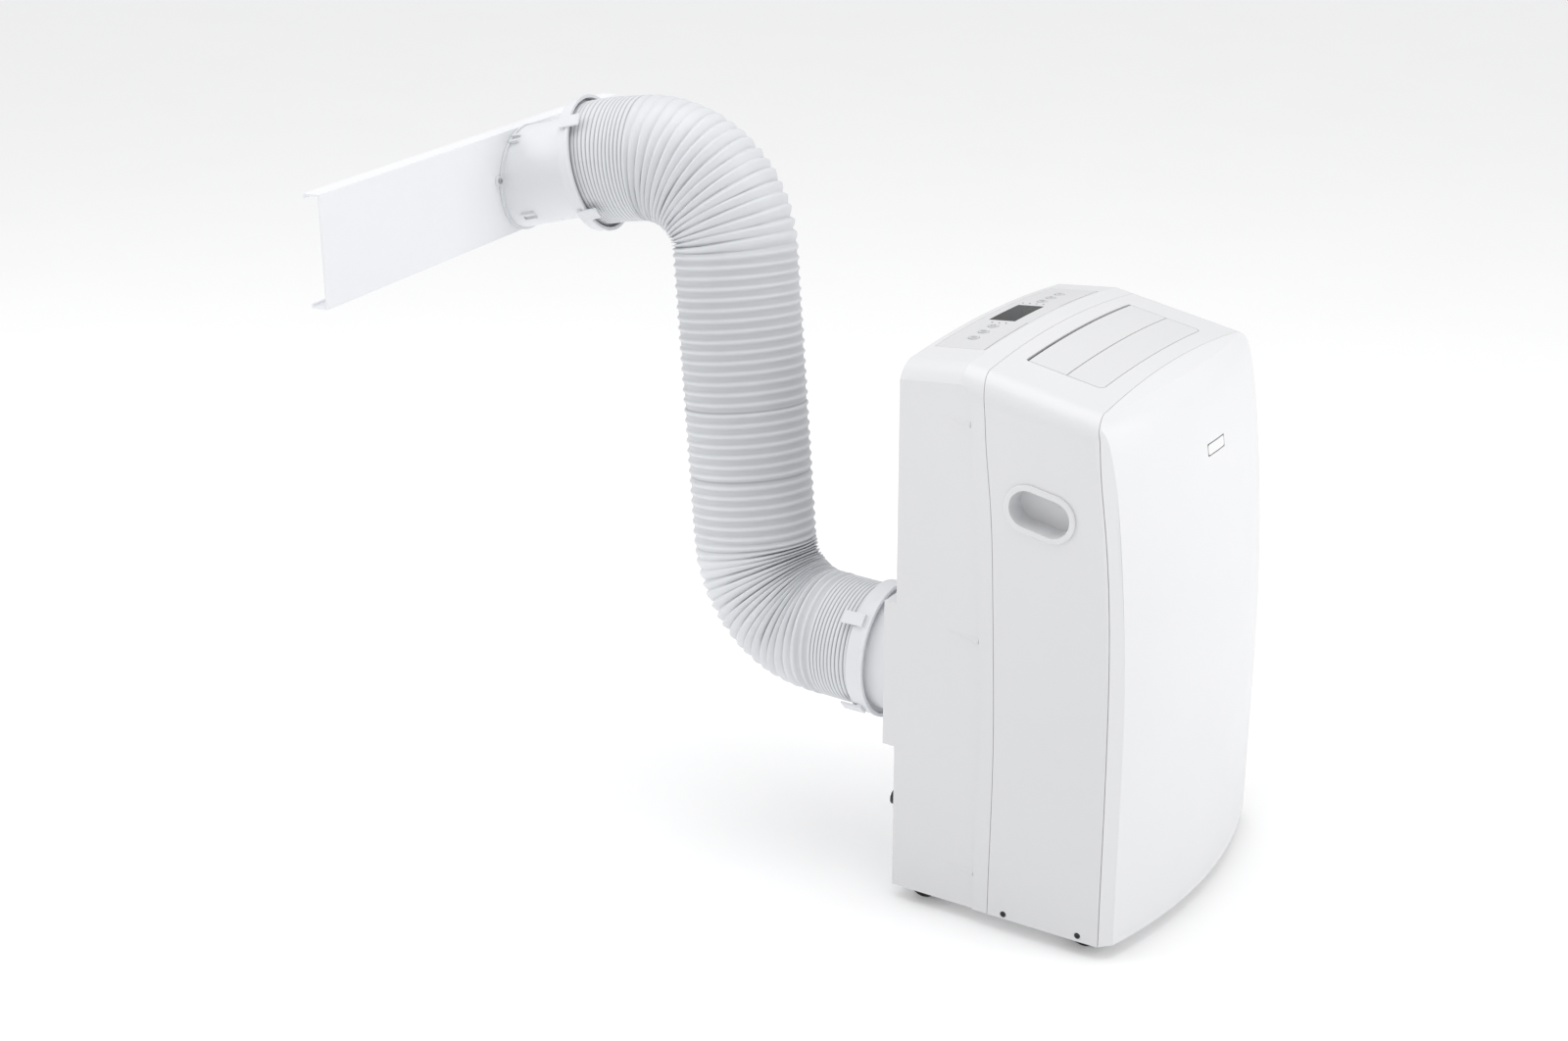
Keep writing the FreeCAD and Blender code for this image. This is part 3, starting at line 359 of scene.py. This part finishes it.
FINE, FOLD, RIB = 5.0, 9.6, 12.8           # pleat spacing in the cuffs, the bends and the straight run
FINE_DEPTH, RIB_DEPTH = 1.9, 2.5
INNER_DEPTH = 7.0                          # gathered pleats on the inside of a bend
OUTER_DEPTH, OUTER_SPREAD = 4.2, 1.8       # pleats on the outside, and how much they differ
SKEW = 0.72                                # where a gathered pleat has its crest, as a share of its width
SEAMS = (466.0, 551.0)                     # heights of the two joints in the straight run
SEAM_HALF, SEAM_DEPTH, SEAM_SHADE = 0.55, 0.9, 0.6


def centreline(points, bend, step):
    """Even steps along straight runs joined by tangent arcs."""
    path = [points[0]]
    for i in range(1, len(points) - 1):
        a = (points[i - 1] - points[i]).normalized()
        b = (points[i + 1] - points[i]).normalized()
        half = a.angle(b) / 2
        reach = bend / math.tan(half)
        start = points[i] + a * reach
        middle = points[i] + (a + b).normalized() * (bend / math.sin(half))
        u = start - middle
        w = points[i] + b * reach - middle
        turn = u.angle(w)
        axis = u.cross(w).normalized()
        path.append(start)
        path += [middle + Quaternion(axis, turn * k / 32) @ u for k in range(1, 33)]
    path.append(points[-1])
    even, left = [path[0]], step
    for p, q in zip(path, path[1:]):
        run = (q - p).length
        while left <= run:
            even.append(p.lerp(q, left / run))
            left += step
        left -= run
    return even + [path[-1]]


def eased(points, rounds):
    """Softens the change from run to arc, as a flexible hose does."""
    for _ in range(rounds):
        inside = [(a + b * 2 + c) / 4 for a, b, c in zip(points, points[1:], points[2:])]
        points = [points[0]] + inside + [points[-1]]
    return points


def chance(k, seed=0.0):
    return math.sin(k * 12.9898 + seed * 78.233) * 43758.5453 % 1.0


def smoothstep(a, b, x):
    t = min(max((x - a) / (b - a), 0.0), 1.0)
    return t * t * (3 - 2 * t)


class HoseLine:
    """Centre line of the hose: place, direction and bend at any distance along it."""

    def __init__(self):
        self.points = eased(centreline(CORNERS, BEND, STEP), SOFTENING)
        self.marks = [0.0]
        for a, b in zip(self.points, self.points[1:]):
            self.marks.append(self.marks[-1] + (b - a).length)
        self.length = self.marks[-1]

    def at(self, s):
        s = min(max(s, 0.0), self.length)
        i = min(int(s / self.length * (len(self.points) - 1)), len(self.points) - 2)
        while i > 0 and self.marks[i] > s:
            i -= 1
        while i < len(self.points) - 2 and self.marks[i + 1] < s:
            i += 1
        share = (s - self.marks[i]) / (self.marks[i + 1] - self.marks[i])
        return self.points[i].lerp(self.points[i + 1], share)

    def heading(self, s, span=3.0):
        return (self.at(s + span) - self.at(s - span)).normalized()

    def turning(self, s):
        """Unit vector to the inside of the bend, and 0 to 1 for how tight it is."""
        if not 15.0 < s < self.length - 15.0:
            return Vector(), 0.0
        turn = self.heading(s + 8.0, 6.0) - self.heading(s - 8.0, 6.0)
        return turn.normalized(), min(turn.length / 0.13, 1.0)


def pleat_drop(phase, rib, inward, tight, cuff, stretched):
    """How far the wall stands below the crests, and how much painted shade its fold gets."""
    turn = phase % 1.0
    valley = 1 - abs(math.sin(math.pi * phase))
    slope = turn / SKEW if turn < SKEW else (1 - turn) / (1 - SKEW)
    gather = (1 - slope ** 0.75) * tight + valley * (1 - tight)
    ridge = max(0.0, 1 - abs(turn - 0.5) / 0.30)
    hollow = 1 - smoothstep(0.0, 1.0, ridge)
    loose = 0.75 + 0.5 * chance(rib, 1.0)
    inside = max(inward, 0.0)
    outside = max(-inward, 0.0)
    outer = OUTER_DEPTH + OUTER_SPREAD * chance(rib, 2.0)
    depth = INNER_DEPTH * inside ** 1.3 + outer * (1 - inside) * (1 - 0.7 * outside * stretched)
    fold = depth * loose * gather ** (0.9 + 0.3 * (1 - inside))
    straight, bent = (1 - tight) * (1 - cuff), tight * (1 - cuff)
    drop = RIB_DEPTH * hollow * straight + fold * bent + FINE_DEPTH * valley ** 3 * cuff
    # painted shade: dark creases on the inside of bends, thin dark lines in the cuff valleys and grey in the
    # straight run's valleys stand in for shade in the folds
    start = 1.1 * chance(rib, 3.0) - 0.55
    painted_crease_shade = gather ** 5 * (0.12 + 0.88 * smoothstep(start, start + 0.5, inward))
    shade = painted_crease_shade * bent + 0.8 * valley ** 4 * cuff + 0.20 * hollow * straight
    return drop, min(shade, 1.0)


def cuff_share(s, total):
    """1 within the finely pleated ends, 0 between them."""
    window_start = total - WINDOW_CUFF
    return (1 - smoothstep(UNIT_CUFF - CUFF_BLEND, UNIT_CUFF + CUFF_BLEND, s)
            + smoothstep(window_start - CUFF_BLEND, window_start + CUFF_BLEND, s))


def end_heading(line, s):
    """Direction along the hose, square to its connector at either end."""
    if s < 4.0:
        return REARWARD
    if line.length - s < 4.0:
        return AIM * -1
    return line.heading(s)


def build_hose():
    line = HoseLine()
    total = line.length
    bm = bmesh.new()
    # this layer holds painted shade for the folds, plus the seam joints' darker tone
    shade = bm.verts.layers.float.new("painted_fold_shade_and_seam")
    angles = [2 * math.pi * n / ROUND for n in range(ROUND)]
    side = Vector((1, 0, 0))
    rings, bores = [], []
    s = phase = 0.0
    next_bore = 0.0
    while True:
        p = line.at(s)
        t = end_heading(line, s)
        side = (side - t * side.dot(t)).normalized()
        across = t.cross(side)
        hug, tight = line.turning(s)
        cuff = cuff_share(s, total)
        tight *= 1 - cuff
        stretched = smoothstep(total - WINDOW_CUFF - 90, total - WINDOW_CUFF - 20, s)
        seam = max(math.exp(-((p.z - z) / SEAM_HALF) ** 2) for z in SEAMS)
        crest = HOSE_R + (CUFF_R - HOSE_R) * cuff - SEAM_DEPTH * seam
        rib = math.floor(phase)
        outward = [side * math.cos(a) + across * math.sin(a) for a in angles]
        ring = []
        for a, out in zip(angles, outward):
            lean = 0.07 * math.sin(2 * a + rib * 2.1) * tight
            drop, fold = pleat_drop(phase + lean, rib, out.dot(hug), tight, cuff, stretched)
            vert = bm.verts.new((p + out * (crest - drop)) * MM)
            vert[shade] = min(fold + SEAM_SHADE * seam, 1.0)
            ring.append(vert)
        rings.append(ring)
        if s >= next_bore or s >= total:
            bores.append([bm.verts.new((p + out * BORE_R) * MM) for out in outward])
            next_bore += BORE_STEP
        if s >= total:
            break
        pitch = FINE * cuff + (FOLD * tight + RIB * (1 - tight)) * (1 - cuff)
        share = 1 / FINE_STEPS if cuff > 0.5 else 1 / FOLD_STEPS
        s += pitch * share
        phase += share
    for group in (rings, bores):
        for a, b in zip(group, group[1:]):
            bridge(bm, a, b)
    for outer, inner in ((rings[0], bores[0]), (rings[-1], bores[-1])):
        bridge(bm, outer, inner)
    hose = piece("pleated_hose", bm, "cabinet", HOSE)
    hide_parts("exhaust_hose")


build_hose()


# ---------------------------------------------------------------- control panel legends
RIDGE_Y, RIDGE_Z, FALL = 84.0, 694.0, 0.08      # highest line of the top, and its fall to the rear
CROWN, FLAT = 9.0, 185.0                        # how far the top sinks over this half width
CROWN_R = (FLAT ** 2 + CROWN ** 2) / (2 * CROWN)


def top_at(x, y):
    """Height of the top surface behind the ridge."""
    return RIDGE_Z - (CROWN_R - math.sqrt(CROWN_R ** 2 - x * x)) - FALL * (y - RIDGE_Y)


def strip(bm, points, width, closed=False, z=None):
    """A printed line on the crowned panel, or on a flat at z, with a little body."""
    lift, sink = 0.08, 0.15
    pts = list(points)
    count = len(pts)
    rows = []
    for i, (x, y) in enumerate(pts):
        if closed:
            a, b = pts[i - 1], pts[(i + 1) % count]
        else:
            a, b = pts[max(i - 1, 0)], pts[min(i + 1, count - 1)]
        dx, dy = b[0] - a[0], b[1] - a[1]
        size = math.hypot(dx, dy) or 1.0
        nx, ny = -dy / size * width / 2, dx / size * width / 2
        row = []
        for sx, sy in ((x + nx, y + ny), (x - nx, y - ny)):
            base = top_at(sx, sy) if z is None else z
            row.append(bm.verts.new(Vector((sx, sy, base + lift)) * MM))
            row.append(bm.verts.new(Vector((sx, sy, base - sink)) * MM))
        rows.append(row)
    pairs = list(zip(rows, rows[1:])) + ([(rows[-1], rows[0])] if closed else [])
    for p, q in pairs:
        bm.faces.new((p[0], p[2], q[2], q[0]))
        bm.faces.new((p[1], q[1], q[3], p[3]))
        bm.faces.new((p[0], q[0], q[1], p[1]))
        bm.faces.new((p[2], p[3], q[3], q[2]))
    if not closed:
        for r in (rows[0], rows[-1]):
            bm.faces.new((r[0], r[1], r[3], r[2]))


def arc_points(cx, cy, r, a0, a1, n=20):
    turns = [math.radians(a0 + (a1 - a0) * i / n) for i in range(n + 1)]
    return [(cx + r * math.cos(a), cy + r * math.sin(a)) for a in turns]


def legend(name, x, y, draw, body, z):
    """A sign of printed lines that rides on its key."""
    bm = bmesh.new()
    for points, width, closed in draw(x, y):
        strip(bm, points, width, closed, z)
    piece(name, bm, body, INK, smooth=False)


def ring(x, y, r, w):
    return (arc_points(x, y, r, 0, 360, 28)[:-1], w, True)


def power_sign(x, y):
    return [(arc_points(x, y - 0.3, 2.6, 125, 415, 24), 0.6, False),
            ([(x, y), (x, y + 3.2)], 0.6, False)]


def clock_sign(x, y):
    return [ring(x, y, 2.9, 0.5), ([(x, y + 1.9), (x, y), (x + 1.4, y - 0.9)], 0.5, False)]


def loop_sign(x, y):
    return [(arc_points(x, y, 2.6, 20, 160, 14), 0.55, False),
            (arc_points(x, y, 2.6, 200, 340, 14), 0.55, False),
            ([(x - 3.4, y + 1.2), (x - 2.4, y + 0.1), (x - 1.4, y + 1.3)], 0.5, False),
            ([(x + 3.4, y - 1.2), (x + 2.4, y - 0.1), (x + 1.4, y - 1.3)], 0.5, False)]


def fan_sign(x, y):
    marks = [ring(x, y, 0.7, 0.45)]
    for k in range(3):
        a = math.radians(90 + 120 * k)
        cx, cy = x + 1.95 * math.cos(a), y + 1.95 * math.sin(a)
        marks.append((arc_points(cx, cy, 1.15, math.degrees(a) - 150, math.degrees(a) + 120, 14), 0.5, False))
    return marks


def chevron(up):
    def draw(x, y):
        h = 1.4 if up else -1.4
        return [([(x - 2.5, y - h), (x, y + h), (x + 2.5, y - h)], 0.7, False)]
    return draw


SIGNS = {"power": power_sign, "timer": clock_sign, "mode": loop_sign, "fan_speed": fan_sign,
         "cooler": chevron(False), "warmer": chevron(True)}
for key, sign in SIGNS.items():
    lo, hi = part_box("key_" + key)
    middle = (lo + hi) / 2 / MM
    legend(key + "_legend", middle.x, middle.y, sign, "key_" + key, hi.z / MM)

# lamps stand in a row on either side of the display, one more on the far side
LAMP_X, LAMP_Y, LAMP_PITCH, LAMP_SIDES = 49.0, 113.0, 9.0, 20
LAMPS = [(side * LAMP_X, LAMP_Y + LAMP_PITCH * k) for side, count in ((-1, 3), (1, 4)) for k in range(count)]
LAMP_PROFILE = ((1.25, -0.15), (1.25, 0.1), (0.9, 0.28))      # radius and height over the panel


def lamps():
    bm = bmesh.new()
    turns = [2 * math.pi * k / LAMP_SIDES for k in range(LAMP_SIDES)]
    for x, y in LAMPS:
        z = top_at(x, y)
        rows = [[bm.verts.new(Vector((x + r * math.cos(a), y + r * math.sin(a), z + h)) * MM) for a in turns]
                for r, h in LAMP_PROFILE]
        for a, b in zip(rows, rows[1:]):
            bridge(bm, a, b)
        bm.faces.new(rows[-1])
        bm.faces.new(rows[0])
    piece("indicator_lamps", bm, "cabinet", INK, smooth=False)


lamps()


# ---------------------------------------------------------------- filter net behind the grille slats
def filter_net():
    """Crossed threads, in metres, inside the filter's frame."""
    lo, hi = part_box("filter_grille")
    bm = bmesh.new()
    y0, y1 = lo.y + 0.0012, lo.y + 0.0017
    x0, x1, z0, z1 = lo.x + 0.011, hi.x - 0.011, lo.z + 0.010, hi.z - 0.010
    pitch, half, thick = 0.0030, 0.00032, 0.0004

    def thread(a, b, c, d, y):
        verts = [bm.verts.new((x, y + t, z)) for t in (0, thick) for x, z in ((a, c), (b, c), (b, d), (a, d))]
        for f in ((0, 1, 2, 3), (7, 6, 5, 4), (0, 4, 5, 1), (1, 5, 6, 2), (2, 6, 7, 3), (3, 7, 4, 0)):
            bm.faces.new([verts[i] for i in f])

    for k in range(int((x1 - x0) / pitch)):
        x = x0 + pitch * (k + 0.5)
        thread(x - half, x + half, z0, z1, y0)
    for k in range(int((z1 - z0) / pitch)):
        z = z0 + pitch * (k + 0.5)
        thread(x0, x1, z - half, z + half, y1)
    piece("filter_net", bm, "filter_grille", INNER, smooth=False)


filter_net()


# ---------------------------------------------------------------- stage, light and camera
def paper():
    f = Finish("floor_paper", Emission_Color=(1.0, 1.0, 1.0, 1.0), Emission_Strength=0.14)
    tone = f.noise(3.0, 4.0, 0.6)
    f.feed("Base Color", f.mix(f.band(tone, 0.3, 0.7), rgba(0.92), rgba(0.90)))
    f.feed("Roughness", f.band(tone, 0.3, 0.7, 0.7, 0.85))
    return f


bm = bmesh.new()
bmesh.ops.create_grid(bm, x_segments=2, y_segments=2, size=30.0)
mesh = bpy.data.meshes.new("studio_floor")
bm.to_mesh(mesh)
bm.free()
floor = bpy.data.objects.new("studio_floor", mesh)
bpy.context.scene.collection.objects.link(floor)
mesh.materials.append(paper().material)

world = bpy.data.worlds.new("studio")
bpy.context.scene.world = world
world.use_nodes = True
backdrop = world.node_tree.nodes["Background"]
backdrop.inputs["Color"].default_value = (0.985, 0.99, 1.0, 1.0)
backdrop.inputs["Strength"].default_value = 0.6


def softbox(name, spot, aim, size, power):
    data = bpy.data.lights.new(name, "AREA")
    data.shape = "RECTANGLE"
    data.size, data.size_y = size
    data.energy = power
    obj = bpy.data.objects.new(name, data)
    bpy.context.scene.collection.objects.link(obj)
    obj.location = spot
    obj.rotation_mode = "QUATERNION"
    obj.rotation_quaternion = (Vector(aim) - Vector(spot)).to_track_quat("-Z", "Y")


softbox("front_soft", (1.0, -3.6, 1.5), (0, 0, 0.4), (2.4, 2.0), 39)
softbox("top_soft", (-0.2, 0.2, 3.4), (0, 0.1, 0.3), (2.4, 2.4), 22)
softbox("rear_soft", (-2.0, 3.2, 2.2), (0, 0.4, 0.6), (1.8, 1.8), 30)
sky = bpy.data.lights.new("ceiling_glow", "SUN")
sky.energy = 0.6
sky.angle = math.radians(60)
ceiling = bpy.data.objects.new("ceiling_glow", sky)
bpy.context.scene.collection.objects.link(ceiling)

camera = bpy.data.objects.new("camera", bpy.data.cameras.new("camera"))
bpy.context.scene.collection.objects.link(camera)
camera.data.sensor_width = 36.0
camera.data.lens = 51.4125
camera.location = (-2.3076, -1.0099, 1.3928)
azimuth, elevation, roll = math.radians(-57.69), math.radians(20.64), math.radians(0.17)
level = Vector((-math.sin(azimuth), math.cos(azimuth), 0))
forward = level * math.cos(elevation) - UP * math.sin(elevation)
camera.rotation_mode = "QUATERNION"
camera.rotation_quaternion = forward.to_track_quat("-Z", "Y") @ Quaternion((0, 0, 1), -roll)
bpy.context.scene.camera = camera
bpy.context.scene.view_settings.view_transform = "Standard"
